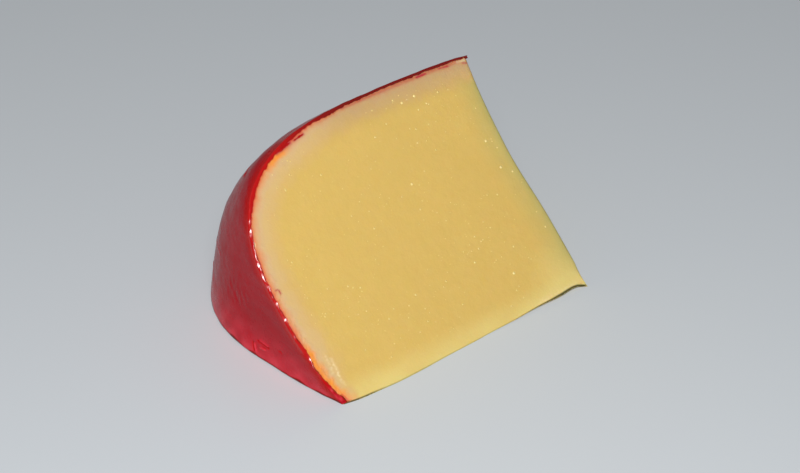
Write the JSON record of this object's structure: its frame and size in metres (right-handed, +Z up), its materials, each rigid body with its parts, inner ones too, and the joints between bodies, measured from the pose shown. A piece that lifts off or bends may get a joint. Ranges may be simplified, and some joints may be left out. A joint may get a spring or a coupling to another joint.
{
  "type": "cheese wedge",
  "caption": "Thick wedge of smooth yellow semi-hard cheese in a red wax coat, cut from a round flattened ball, lying on one of its flat cut faces.",
  "frame": {"origin": "centre of the bounding box on the plane the wedge rests on", "axes": "+X along the whole cheese's axis, from the waxed end towards the cross cut; +Y from the sharp lower edge towards the waxed side; +Z up, away from the radial cut it lies on"},
  "size_m": [0.0908, 0.0732, 0.0528],
  "materials": {
    "cheese_paste": "moist satin cut paste, pale yellow, slightly translucent",
    "wax_coat": "glossy red wax with soft wrinkles"
  },
  "bodies": {
    "root": {"cheese_wedge": "cheese_paste"}
  },
  "joints": []
}
